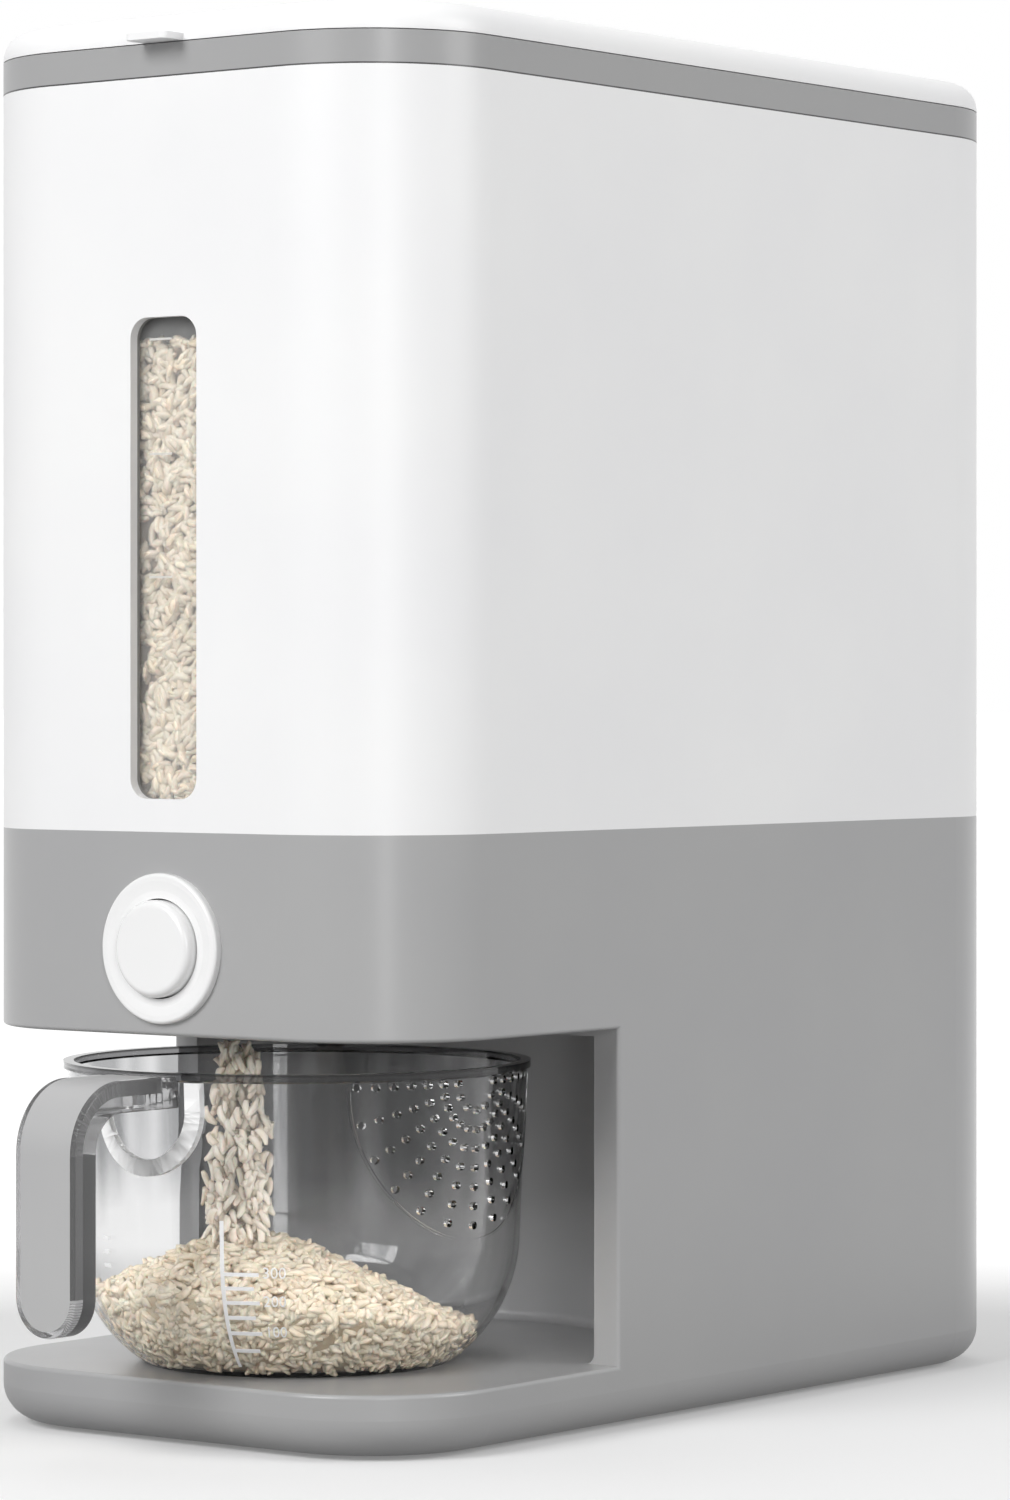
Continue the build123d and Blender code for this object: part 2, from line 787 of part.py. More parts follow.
def handle_socket():
    # U-shaped rib on the cup under the handle's root
    centre_z = cup_rim_z - lip_height - socket_depth + socket_half_width

    def u_shape(half):
        tall = cup_rim_z - lip_height - centre_z
        return Pos(0, centre_z) * Circle(half) + Pos(0, centre_z + tall / 2) * Rectangle(2 * half, tall)

    band = u_shape(socket_half_width) - u_shape(socket_half_width - socket_band)
    reach = front_plate(band, cup_y - cup_rim_radius - margin, cup_y - cup_rim_radius / 2)
    skin = cup_body(-socket_proud, 0) - cup_body(cup_wall / 2, 0)
    below_rim = block(
        -body_width, body_width, cup_y - body_width, cup_y, cup_bottom_z, cup_rim_z - lip_height
    )
    return reach & skin & below_rim


def measuring_cup():
    cup = cup_body(0, 0, lip_width) - cup_body(cup_wall, cup_floor)
    cup += handle_socket() + drain_line()
    return cup - drain_holes()


def strap(skin, depth, low_z):
    # Side view of the handle's strap, between two depths below its outer face
    def hook(inset):
        y = handle_outer_y + inset
        z = handle_top_z - inset
        r = handle_bend_radius - inset
        lines = Polyline((handle_root_y, z), (y + r, z))
        lines += RadiusArc((y + r, z), (y, z - r), -r)
        lines += Polyline(
            (y, z - r), (y, low_z - margin), (handle_root_y, low_z - margin), (handle_root_y, z)
        )
        return make_face(lines)

    return hook(skin) - hook(depth)


def handle_end(half, low_z):
    # Front view of the strap's round lower end
    tall = handle_length + margin
    return Pos(0, low_z + half) * Circle(half) + Pos(0, low_z + half + tall / 2) * Rectangle(
        2 * half, tall
    )


def handle_strap(skin, depth, half, low_z):
    body = side_plate(strap(skin, depth, low_z), -half, half)
    return body & front_plate(handle_end(half, low_z), handle_outer_y - margin, handle_root_y + margin)


def inlay_strip(gap):
    half = handle_width / 2 - inlay_border + gap
    strip = handle_strap(0, inlay_depth + gap, half, handle_low_z + inlay_border - gap)
    end_y = cup_y - cup_rim_radius - lip_width - 2 * inlay_border + gap
    return strip & block(
        -body_width, body_width, handle_outer_y - margin, end_y, handle_low_z - margin,
        handle_top_z + margin,
    )


def cup_handle():
    handle = handle_strap(0, handle_thickness, handle_width / 2, handle_low_z)
    free_edges = [e for e in handle.edges() if e.center().Y < handle_root_y - tolerance]
    handle = fillet(free_edges, handle_edge_radius)
    return handle - cup_body(0, 0, lip_width) - inlay_strip(0)


def handle_inlay():
    return inlay_strip(0)


nodes = {
    "base_housing": base_housing,
    "bottom_cover": bottom_cover,
    "cover_screws": cover_screws,
    "rubber_feet": rubber_feet,
    "storage_tank": storage_tank,
    "window_gasket": window_gasket,
    "level_window": level_window,
    "hopper_funnel": hopper_funnel,
    "hopper_stand": hopper_stand,
    "outlet_chute": outlet_chute,
    "chute_screws": chute_screws,
    "gate_pivot_pins": gate_pivot_pins,
    "discharge_gate": discharge_gate,
    "button_bezel": button_bezel,
    "bezel_nut": bezel_nut,
    "push_button": push_button,
    "button_yoke": button_yoke,
    "return_spring": return_spring,
    "lid_frame": lid_frame,
    "hinge_pins": hinge_pins,
    "lid_shell": lid_shell,
    "lid_seal": lid_seal,
    "measuring_cup": measuring_cup,
    "cup_handle": cup_handle,
    "handle_inlay": handle_inlay,
}

os.makedirs("parts", exist_ok=True)
for name, make in nodes.items():
    piece = make()
    if isinstance(piece, list):
        piece = Compound(children=piece)
    export_step(piece, f"parts/{name}.step")
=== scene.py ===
import math
import random
import bmesh
import bpy
from mathutils import Matrix, Quaternion, Vector


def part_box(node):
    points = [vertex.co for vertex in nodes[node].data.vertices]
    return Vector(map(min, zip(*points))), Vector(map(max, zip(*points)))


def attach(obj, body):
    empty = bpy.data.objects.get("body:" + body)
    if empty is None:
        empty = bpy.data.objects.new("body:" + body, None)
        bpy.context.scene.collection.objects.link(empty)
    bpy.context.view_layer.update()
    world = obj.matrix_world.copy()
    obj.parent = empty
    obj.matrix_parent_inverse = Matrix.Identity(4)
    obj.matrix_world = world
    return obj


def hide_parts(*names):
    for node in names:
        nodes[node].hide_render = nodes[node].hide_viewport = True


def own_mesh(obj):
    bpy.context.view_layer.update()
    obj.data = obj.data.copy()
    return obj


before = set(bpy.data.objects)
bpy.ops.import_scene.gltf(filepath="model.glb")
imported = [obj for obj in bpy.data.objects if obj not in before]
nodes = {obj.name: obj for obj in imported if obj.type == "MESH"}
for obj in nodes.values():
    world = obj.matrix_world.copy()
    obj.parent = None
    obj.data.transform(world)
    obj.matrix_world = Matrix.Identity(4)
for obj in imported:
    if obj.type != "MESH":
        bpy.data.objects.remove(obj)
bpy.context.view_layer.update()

mm = 0.001


# Small helpers

def toLinear(value):
    # One sRGB channel, 0 to 255, as linear light
    c = value / 255
    return c / 12.92 if c <= 0.04045 else ((c + 0.055) / 1.055) ** 2.4


def rgb(r, g=None, b=None):
    g = r if g is None else g
    b = r if b is None else b
    return (toLinear(r), toLinear(g), toLinear(b), 1)


def deselectAll():
    if bpy.context.mode != "OBJECT":
        bpy.ops.object.mode_set(mode="OBJECT")
    bpy.ops.object.select_all(action="DESELECT")


def makeActive(obj):
    deselectAll()
    obj.select_set(True)
    bpy.context.view_layer.objects.active = obj


def smoothByAngle(obj, degrees=32):
    makeActive(obj)
    bpy.ops.object.shade_smooth_by_angle(angle=math.radians(degrees))


def placeInMesh(obj):
    # Leaves the object at the origin with its place in the mesh
    makeActive(obj)
    bpy.ops.object.transform_apply(location=True, rotation=True, scale=True)


def selectVerts(obj, test):
    # Selects the vertices in edit mode that pass a test of their place
    bpy.ops.mesh.select_mode(type="VERT")
    mesh = bmesh.from_edit_mesh(obj.data)
    for vert in mesh.verts:
        vert.select_set(test(vert.co))
    mesh.select_flush_mode()
    bmesh.update_edit_mesh(obj.data)


def selectEdges(obj, test):
    # Selects the edges in edit mode that pass a test of their two ends
    bpy.ops.mesh.select_mode(type="EDGE")
    mesh = bmesh.from_edit_mesh(obj.data)
    for edge in mesh.edges:
        edge.select_set(test(edge.verts[0].co, edge.verts[1].co))
    bmesh.update_edit_mesh(obj.data)


def selectFaces(obj, test):
    # Selects the faces in edit mode that pass a test of their normal and middle
    bpy.ops.mesh.select_mode(type="FACE")
    mesh = bmesh.from_edit_mesh(obj.data)
    for face in mesh.faces:
        face.select_set(test(face.normal, face.calc_center_median()))
    bmesh.update_edit_mesh(obj.data)


# Materials

def newMaterial(name):
    mat = bpy.data.materials.new(name)
    mat.use_nodes = True
    tree = mat.node_tree
    shader = tree.nodes["Principled BSDF"]
    return mat, tree, shader


def addNoise(tree, scale, detail):
    coords = tree.nodes.new("ShaderNodeTexCoord")
    noise = tree.nodes.new("ShaderNodeTexNoise")
    noise.inputs["Scale"].default_value = scale
    noise.inputs["Detail"].default_value = detail
    tree.links.new(coords.outputs["Object"], noise.inputs["Vector"])
    return noise


def addBump(tree, shader, height, strength, distance):
    bump = tree.nodes.new("ShaderNodeBump")
    bump.inputs["Strength"].default_value = strength
    bump.inputs["Distance"].default_value = distance
    tree.links.new(height, bump.inputs["Height"])
    tree.links.new(bump.outputs["Normal"], shader.inputs["Normal"])


def addRange(tree, source, low, high):
    spread = tree.nodes.new("ShaderNodeMapRange")
    spread.inputs["To Min"].default_value = low
    spread.inputs["To Max"].default_value = high
    tree.links.new(source, spread.inputs["Value"])
    return spread.outputs["Result"]


def addTwoColours(tree, source, dark, light, spread=0.2):
    ramp = tree.nodes.new("ShaderNodeValToRGB")
    ramp.color_ramp.elements[0].position = 0.5 - spread
    ramp.color_ramp.elements[0].color = dark
    ramp.color_ramp.elements[1].position = 0.5 + spread
    ramp.color_ramp.elements[1].color = light
    tree.links.new(source, ramp.inputs["Fac"])
    return ramp.outputs["Color"]


def addMath(tree, operation, first, second):
    node = tree.nodes.new("ShaderNodeMath")
    node.operation = operation
    tree.links.new(first, node.inputs[0])
    tree.links.new(second, node.inputs[1])
    return node.outputs["Value"]


def addSeen(tree):
    # Gives 1 where it is seen straight or through clear plastic, then 1 also where it is
    # seen as a reflection
    rays = tree.nodes.new("ShaderNodeLightPath").outputs
    straight = addMath(tree, "MAXIMUM", rays["Is Camera Ray"], rays["Is Transmission Ray"])
    return straight, addMath(tree, "MAXIMUM", straight, rays["Is Glossy Ray"])


def mouldedPlastic(name, dark, light, roughLow, roughHigh, grain, coat=0.0):
    # Moulded plastic: slight uneven tone, fine spark texture in the roughness and the bump
    mat, tree, shader = newMaterial(name)
    tone = addNoise(tree, scale=14, detail=4)
    colour = addTwoColours(tree, tone.outputs["Fac"], dark, light)
    tree.links.new(colour, shader.inputs["Base Color"])
    haze = addNoise(tree, scale=60, detail=4)
    sheen = addRange(tree, haze.outputs["Fac"], roughLow, roughHigh)
    tree.links.new(sheen, shader.inputs["Roughness"])
    fine = addNoise(tree, scale=2600, detail=2)
    addBump(tree, shader, fine.outputs["Fac"], strength=grain, distance=0.00004)
    shader.inputs["IOR"].default_value = 1.5
    shader.inputs["Coat Weight"].default_value = coat
    shader.inputs["Coat Roughness"].default_value = 0.12
    return mat


def addUprightBands(tree, dark, light):
    # Tone that drifts round the wall and hardly changes with height
    coords = tree.nodes.new("ShaderNodeTexCoord")
    stretch = tree.nodes.new("ShaderNodeMapping")
    stretch.inputs["Scale"].default_value = (1, 1, 0.08)
    noise = tree.nodes.new("ShaderNodeTexNoise")
    noise.inputs["Scale"].default_value = 62
    noise.inputs["Detail"].default_value = 1
    tree.links.new(coords.outputs["Object"], stretch.inputs["Vector"])
    tree.links.new(stretch.outputs["Vector"], noise.inputs["Vector"])
    return addTwoColours(tree, noise.outputs["Fac"], dark, light, spread=0.09)


def addHeightShade(tree, colour, fromZ, toZ, shade):
    # The colour turns to the shade between two heights
    coords = tree.nodes.new("ShaderNodeTexCoord")
    parts = tree.nodes.new("ShaderNodeSeparateXYZ")
    rise = tree.nodes.new("ShaderNodeMapRange")
    rise.inputs["From Min"].default_value = fromZ
    rise.inputs["From Max"].default_value = toZ
    tree.links.new(coords.outputs["Object"], parts.inputs["Vector"])
    tree.links.new(parts.outputs["Z"], rise.inputs["Value"])
    mix = tree.nodes.new("ShaderNodeMix")
    mix.data_type = "RGBA"
    mix.inputs["B"].default_value = shade
    tree.links.new(rise.outputs["Result"], mix.inputs["Factor"])
    tree.links.new(colour, mix.inputs["A"])
    return mix.outputs["Result"]


# Painted shadow line along the joint under the grey band: its heights over the tank's top, then
# the shade
seamShadowLine = {
    "from": 0.55 * mm,
    "to": 0.35 * mm,
    "shade": rgb(58),
}


def seamShadowBand(name, dark, light):
    # The grey plastic again, with a painted shadow line along the joint under it
    mat = mouldedPlastic(name, dark, light, 0.27, 0.33, 0.25)
    tree = mat.node_tree
    shader = tree.nodes["Principled BSDF"]
    plain = shader.inputs["Base Color"].links[0].from_socket
    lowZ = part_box("storage_tank")[1].z
    fromZ, toZ = lowZ + seamShadowLine["from"], lowZ + seamShadowLine["to"]
    seamShadow = addHeightShade(tree, plain, fromZ, toZ, seamShadowLine["shade"])
    tree.links.new(seamShadow, shader.inputs["Base Color"])
    return mat


def clearPlastic(name, tint, shade, rough, clarity=1.0, bandTint=None, heightShades=()):
    # Smoky clear plastic that lets the lamps through
    mat, tree, shader = newMaterial(name)
    shader.inputs["Base Color"].default_value = tint
    if bandTint:
        colour = addUprightBands(tree, bandTint, tint)
        for heightShade in heightShades:
            colour = addHeightShade(tree, colour, *heightShade)
        tree.links.new(colour, shader.inputs["Base Color"])
    shader.inputs["Transmission Weight"].default_value = clarity
    shader.inputs["IOR"].default_value = 1.36
    haze = addNoise(tree, scale=30, detail=3)
    sheen = addRange(tree, haze.outputs["Fac"], rough, rough * 2)
    tree.links.new(sheen, shader.inputs["Roughness"])
    lampPath = tree.nodes.new("ShaderNodeLightPath")
    clear = tree.nodes.new("ShaderNodeBsdfTransparent")
    clear.inputs["Color"].default_value = shade
    mix = tree.nodes.new("ShaderNodeMixShader")
    tree.links.new(lampPath.outputs["Is Shadow Ray"], mix.inputs["Fac"])
    tree.links.new(shader.outputs["BSDF"], mix.inputs[1])
    tree.links.new(clear.outputs["BSDF"], mix.inputs[2])
    tree.links.new(mix.outputs["Shader"], tree.nodes["Material Output"].inputs["Surface"])
    return mat


def rubberLike(name, dark, light, rough):
    mat, tree, shader = newMaterial(name)
    tone = addNoise(tree, scale=40, detail=4)
    colour = addTwoColours(tree, tone.outputs["Fac"], dark, light)
    tree.links.new(colour, shader.inputs["Base Color"])
    sheen = addRange(tree, tone.outputs["Fac"], rough - 0.05, rough + 0.1)
    tree.links.new(sheen, shader.inputs["Roughness"])
    fine = addNoise(tree, scale=900, detail=4)
    addBump(tree, shader, fine.outputs["Fac"], strength=0.25, distance=0.0001)
    return mat


def platedSteel(name):
    mat, tree, shader = newMaterial(name)
    shader.inputs["Base Color"].default_value = rgb(176, 178, 180)
    shader.inputs["Metallic"].default_value = 1
    streak = addNoise(tree, scale=500, detail=5)
    sheen = addRange(tree, streak.outputs["Fac"], 0.22, 0.42)
    tree.links.new(sheen, shader.inputs["Roughness"])
    addBump(tree, shader, streak.outputs["Fac"], strength=0.15, distance=0.00005)
    return mat


def riceSkin(name, dark, light):
    # Polished rice: cream with chalky spots, a little light passing through
    mat, tree, shader = newMaterial(name)
    spots = addNoise(tree, scale=260, detail=3)
    cream = addTwoColours(tree, spots.outputs["Fac"], dark, light)
    tree.links.new(cream, shader.inputs["Base Color"])
    shader.inputs["Roughness"].default_value = 0.42
    shader.inputs["Subsurface Weight"].default_value = 0.15
    shader.inputs["Subsurface Scale"].default_value = 0.0012
    fine = addNoise(tree, scale=1800, detail=2)
    addBump(tree, shader, fine.outputs["Fac"], strength=0.2, distance=0.00008)
    return mat


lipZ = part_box("measuring_cup")[1].z - 2.6 * mm
# The heights that the low part, the rim band and the rim's top edge start and end at come before
# the colour there. The rim band and its top edge are painted shade: darker glass in the rim band,
# near black along its top
cupTintAndRimShade = {
    "tint": (0.87, 0.87, 0.875, 1),
    "bandTint": (0.45, 0.455, 0.46, 1),
    "shade": (0.92, 0.92, 0.92, 1),
    "low": (78 * mm, 60 * mm, (0.9, 0.9, 0.9, 1)),
    "lip": (lipZ, lipZ + 0.3 * mm, (0.25, 0.25, 0.255, 1)),
    "rimEdgeShade": (lipZ + 1.8 * mm, lipZ + 2.0 * mm, (0.08, 0.08, 0.08, 1)),
}
# Moulded plastics: name, darker and lighter tone, roughness from and to, grain, coat
finish = {
    "whiteTank": mouldedPlastic(
        "whiteSatinPlastic", rgb(240, 240, 241), rgb(244, 244, 244), 0.34, 0.42, 0.25),
    "whiteButton": mouldedPlastic(
        "whiteGlossPlastic", rgb(238, 238, 238), rgb(243, 243, 243), 0.16, 0.24, 0.08, 0.3),
    "whiteInner": mouldedPlastic(
        "whiteInnerPlastic", rgb(226, 226, 224), rgb(233, 233, 231), 0.42, 0.52, 0.25),
    "greyHousing": mouldedPlastic(
        "greySatinPlastic", rgb(164, 164, 165), rgb(168, 168, 168), 0.27, 0.33, 0.25),
    "greyBand": seamShadowBand("greyBandPlastic", rgb(160, 160, 161), rgb(164, 164, 164)),
    "greyInlay": mouldedPlastic(
        "greyInlayPlastic", rgb(174, 174, 175), rgb(179, 179, 179), 0.34, 0.42, 0.25),
    "greyMechanism": mouldedPlastic(
        "greyInnerPlastic", rgb(138, 139, 142), rgb(146, 147, 150), 0.4, 0.5, 0.2),
    "smokyClear": clearPlastic(
        "smokyClearPlastic", cupTintAndRimShade["tint"], cupTintAndRimShade["shade"], rough=0.012,
        bandTint=cupTintAndRimShade["bandTint"],
        heightShades=(cupTintAndRimShade["low"], cupTintAndRimShade["lip"], cupTintAndRimShade["rimEdgeShade"])),
    "smokyHandle": clearPlastic(
        "smokyHandlePlastic", (0.55, 0.55, 0.555, 1), (0.85, 0.85, 0.85, 1),
        rough=0.015, clarity=0.86),
    "lensClear": clearPlastic(
        "lensPlastic", (0.74, 0.74, 0.74, 1), (0.92, 0.92, 0.92, 1),
        rough=0.02, clarity=0.88),
    "silicone": rubberLike("greySilicone", rgb(132, 131, 129), rgb(144, 143, 140), 0.55),
    "rubber": rubberLike("blackRubber", rgb(26, 26, 27), rgb(38, 38, 39), 0.7),
    "steel": platedSteel("platedSteel"),
    "print": mouldedPlastic("whitePrint", rgb(248, 248, 248), rgb(251, 251, 251), 0.4, 0.5, 0.1),
    "sightPrint": mouldedPlastic(
        "palePrint", rgb(206, 204, 200), rgb(214, 212, 208), 0.4, 0.5, 0.1),
    "frosted": mouldedPlastic(
        "frostedRib", rgb(247, 247, 247), rgb(250, 250, 250), 0.3, 0.4, 0.1),
    "rice": riceSkin("polishedRice", rgb(208, 193, 169), rgb(228, 217, 199)),
    # The body under the grains is darker rice: painted shade in the gaps between grains
    "riceBedShade": riceSkin("shadedRice", rgb(172, 155, 130), rgb(192, 177, 153)),
    # The falling grains' rice is lighter: painted light, as the stream falls in the bay's shade
    "riceFallingPaintedLight": riceSkin("fallingRice", rgb(232, 220, 202), rgb(246, 239, 227)),
}
print("materials made:", len(finish))

nodeFinish = {
    "base_housing": "greyHousing",
    "bottom_cover": "greyHousing",
    "lid_frame": "greyBand",
    "storage_tank": "whiteTank",
    "lid_shell": "whiteTank",
    "hopper_funnel": "whiteInner",
    "hopper_stand": "whiteInner",
    "outlet_chute": "whiteInner",
    "button_bezel": "whiteButton",
    "push_button": "whiteButton",
    "bezel_nut": "greyMechanism",
    "button_yoke": "greyMechanism",
    "discharge_gate": "greyMechanism",
    "window_gasket": "silicone",
    "lid_seal": "silicone",
    "level_window": "lensClear",
    "measuring_cup": "smokyClear",
    "cup_handle": "smokyHandle",
    "handle_inlay": "greyInlay",
    "rubber_feet": "rubber",
    "cover_screws": "steel",
    "chute_screws": "steel",
    "gate_pivot_pins": "steel",
    "hinge_pins": "steel",
    "return_spring": "steel",
}
for nodeName, finishName in nodeFinish.items():
    nodeMesh = nodes[nodeName].data
    nodeMesh.materials.clear()
    nodeMesh.materials.append(finish[finishName])
print("CAD nodes finished:", len(nodeFinish))


# Rice

riceGrain = {
    "halfLength": 3.7 * mm,
    "halfWidth": 1.45 * mm,
    "halfDepth": 1.1 * mm,
    "bow": 0.6 * mm,
    "middleShare": 0.5,
    "endShare": 0.7,
    "tipShare": 0.9,
    "bluntShare": 0.25,
}


def makeGrain():
    # One grain: a slim round form, bowed in the middle and with one end cut blunt
    deselectAll()
    bpy.ops.mesh.primitive_uv_sphere_add(segments=6, ring_count=5, radius=1)
    grain = bpy.context.object
    half = riceGrain["halfLength"]
    bow = riceGrain["bow"]
    size = (riceGrain["halfWidth"], riceGrain["halfDepth"], half)
    bpy.ops.object.mode_set(mode="EDIT")
    bpy.ops.mesh.select_all(action="SELECT")
    bpy.ops.transform.resize(value=size)
    selectVerts(grain, lambda co: abs(co.z) < half * riceGrain["middleShare"])
    bpy.ops.transform.translate(value=(bow, 0, 0))
    selectVerts(grain, lambda co: abs(co.z) > half * riceGrain["endShare"])
    bpy.ops.transform.translate(value=(-bow / 2, 0, 0))
    selectVerts(grain, lambda co: co.z > half * riceGrain["tipShare"])
    bpy.ops.transform.translate(value=(-bow, 0, -riceGrain["bluntShare"] * half))
    bpy.ops.object.mode_set(mode="OBJECT")
    bpy.ops.object.shade_smooth()
    grain.data.materials.append(finish["rice"])
    return grain


def randomTurn(rng, flatness, normal):
    # A grain's direction: mostly along the surface whose normal is given
    while True:
        way = Vector((rng.uniform(-1, 1), rng.uniform(-1, 1), rng.uniform(-1, 1)))
        if 0.1 < way.length < 1:
            break
    way.normalize()
    way -= normal * way.dot(normal) * flatness
    turn = way.to_track_quat("Z", "Y")
    return turn @ Quaternion((0, 0, 1), rng.uniform(0, 2 * math.pi))


def strewGrains(name, grain, places, body):
    # A copy of the grain at each place, then all joined into one piece
    copies = []
    for place, turn, size in places:
        copy = grain.copy()
        copy.data = grain.data.copy()
        spin = turn.to_matrix().to_4x4()
        copy.matrix_world = Matrix.Translation(place) @ spin @ Matrix.Scale(size, 4)
        bpy.context.scene.collection.objects.link(copy)
        copies.append(copy)
    deselectAll()
    for copy in copies:
        copy.select_set(True)
    bpy.context.view_layer.objects.active = copies[0]
    bpy.ops.object.join()
    piece = bpy.context.object
    piece.name = name
    placeInMesh(piece)
    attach(piece, body)
    print(name, "grains:", len(places))
    return piece


cupLow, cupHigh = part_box("measuring_cup")
cupAxis = Vector(((cupLow.x + cupHigh.x) / 2, (cupLow.y + cupHigh.y) / 2, 0))
cupShape = {
    "waistRadius": 65.3 * mm,
    "bowlRadius": 44 * mm,
    "wall": 1.8 * mm,
    "floor": 2.2 * mm,
    "baseRadius": 45 * mm,
    "flare": 0.0435,
}


def cupRadius(z, draw=0.0):
    # The bowl's outside, drawn in by a depth: a round lower part under a nearly straight wall
    centreR = cupShape["waistRadius"] - cupShape["bowlRadius"]
    run = cupShape["baseRadius"] - centreR
    centreZ = cupLow.z + math.sqrt(cupShape["bowlRadius"] ** 2 - run ** 2)
    bowl = cupShape["bowlRadius"] - draw
    if z >= centreZ:
        return centreR + bowl + cupShape["flare"] * (z - centreZ)
    drop = min(centreZ - z, bowl)
    return centreR + math.sqrt(bowl ** 2 - drop ** 2)


def cupInnerRadius(z):
    return cupRadius(z, cupShape["wall"])


heap = {
    "peak": (0, -126 * mm, 58 * mm),
    "slope": 0.52,
    "crown": 12 * mm,
    "clearance": 1.3 * mm,
    "floorGap": 0.3 * mm,
    "sunk": 0.9 * mm,
    "corners": 64,
    "rings": 8,
    "insets": 9,
    "insetStep": 0.1,
    "settles": 6,
}
# Loose grains on the heap and at the bowl's wall: counts, shares, lengths in millimetres
heapGrains = {
    "seed": 7,
    "top": 2200,
    "topReach": 65,
    "topRise": (-1.2, 0.5),
    "topWallGap": 1.4,
    "topFlat": 0.75,
    "topSizes": (0.85, 1.08),
    "side": 1500,
    "sideLevels": (1.2, 36),
    "sideGaps": (1.3, 2.4),
    "sideRise": 1.2,
    "sideFlat": 0.97,
    "sideSizes": (0.85, 1.05),
}


def heapHeight(x, y):
    peakX, peakY, peakZ = heap["peak"]
    away = math.hypot(x - peakX, y - peakY)
    return peakZ + heap["slope"] * (heap["crown"] - math.hypot(away, heap["crown"]))


def makeHeap():
    # Solid body of the heap: rings drawn up the bowl's wall, then the top inset to the middle
    floorZ = cupLow.z + cupShape["floor"] + heap["floorGap"]
    rings = heap["rings"]
    deselectAll()
    bpy.ops.mesh.primitive_circle_add(
        vertices=heap["corners"], radius=1, fill_type="NGON", location=(0, 0, 0))
    body = bpy.context.object
    body.name = "cupRiceBed"
    bpy.ops.object.mode_set(mode="EDIT")
    bpy.ops.mesh.select_all(action="SELECT")
    for ring in range(rings):
        bpy.ops.mesh.extrude_region_move(TRANSFORM_OT_translate={"value": (0, 0, 1)})
    for ring in range(heap["insets"]):
        bpy.ops.mesh.inset(thickness=heap["insetStep"])
    bpy.ops.object.mode_set(mode="OBJECT")
    # Each ring takes its place on the bowl's wall, and the top follows the heap
    for vert in body.data.vertices:
        reach = math.hypot(vert.co.x, vert.co.y)
        angle = math.atan2(vert.co.y, vert.co.x)
        share = vert.co.z / rings
        rim = cupShape["waistRadius"]
        for settle in range(heap["settles"]):
            top = heapHeight(cupAxis.x + rim * math.cos(angle), cupAxis.y + rim * math.sin(angle))
            rim = cupInnerRadius(top) - heap["clearance"]
        level = floorZ + share * (top - floorZ)
        radius = (cupInnerRadius(level) - heap["clearance"]) * reach
        x = cupAxis.x + radius * math.cos(angle)
        y = cupAxis.y + radius * math.sin(angle)
        if share == 1:
            level = heapHeight(x, y)
        vert.co = (x, y, level - heap["sunk"] * share)
    makeActive(body)
    bpy.ops.object.mode_set(mode="EDIT")
    bpy.ops.mesh.select_all(action="SELECT")
    bpy.ops.mesh.normals_make_consistent(inside=False)
    bpy.ops.object.mode_set(mode="OBJECT")
    bpy.ops.object.shade_smooth()
    body.data.materials.append(finish["riceBedShade"])
    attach(body, "cup")


def strewHeap(grain):
    rng = random.Random(heapGrains["seed"])
    reach = heapGrains["topReach"]
    top = []
    while len(top) < heapGrains["top"]:
        x = rng.uniform(-reach, reach) * mm
        y = rng.uniform(-reach, reach) * mm
        z = heapHeight(cupAxis.x + x, cupAxis.y + y) + rng.uniform(*heapGrains["topRise"]) * mm
        if math.hypot(x, y) > cupInnerRadius(z) - heapGrains["topWallGap"] * mm:
            continue
        turn = randomTurn(rng, heapGrains["topFlat"], Vector((0, 0, 1)))
        place = Vector((cupAxis.x + x, cupAxis.y + y, z))
        top.append((place, turn, rng.uniform(*heapGrains["topSizes"])))
    strewGrains("cupRiceTop", grain, top, "cup")
    side = []
    while len(side) < heapGrains["side"]:
        angle = rng.uniform(-math.pi, math.pi)
        z = cupLow.z + cupShape["floor"] + rng.uniform(*heapGrains["sideLevels"]) * mm
        radius = cupInnerRadius(z) - rng.uniform(*heapGrains["sideGaps"]) * mm
        x = cupAxis.x + radius * math.cos(angle)
        y = cupAxis.y + radius * math.sin(angle)
        if z > heapHeight(x, y) + heapGrains["sideRise"] * mm:
            continue
        outward = Vector((math.cos(angle), math.sin(angle), 0))
        turn = randomTurn(rng, heapGrains["sideFlat"], outward)
        side.append((Vector((x, y, z)), turn, rng.uniform(*heapGrains["sideSizes"])))
    strewGrains("cupRiceSide", grain, side, "cup")


stream = {
    "seed": 21,
    "grains": 330,
    "radius": 8.5 * mm,
    "spread": 3.0 * mm,
    "topZ": 113.0 * mm,
    "lowZ": 58 * mm,
    "centreY": -130 * mm,
    "crowding": 0.9,
    "fill": (0.7, 1),
    "lean": 0.28,
    "tumble": 0.3,
    "sizes": (0.8, 1.0),
}


def strewStream(grain):
    # Falling grains: they point down near the hole and tumble further down
    rng = random.Random(stream["seed"])
    places = []
    for index in range(stream["grains"]):
        fall = rng.random() ** stream["crowding"]
        z = stream["topZ"] - fall * (stream["topZ"] - stream["lowZ"])
        wide = stream["radius"] + stream["spread"] * fall
        reach = wide * math.sqrt(rng.random()) * rng.uniform(*stream["fill"])
        angle = rng.uniform(-math.pi, math.pi)
        place = Vector((reach * math.cos(angle), stream["centreY"] + reach * math.sin(angle), z))
        sway = stream["lean"] + stream["tumble"] * fall
        lean = Vector((rng.gauss(0, sway), rng.gauss(0, sway), 1)).normalized()
        turn = lean.to_track_quat("Z", "Y") @ Quaternion((0, 0, 1), rng.uniform(0, 2 * math.pi))
        places.append((place, turn, rng.uniform(*stream["sizes"])))
    piece = strewGrains("fallingRice", grain, places, "cup")
    # The falling grains take the lighter rice: painted light
    piece.data.materials.clear()
    piece.data.materials.append(finish["riceFallingPaintedLight"])
    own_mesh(piece)


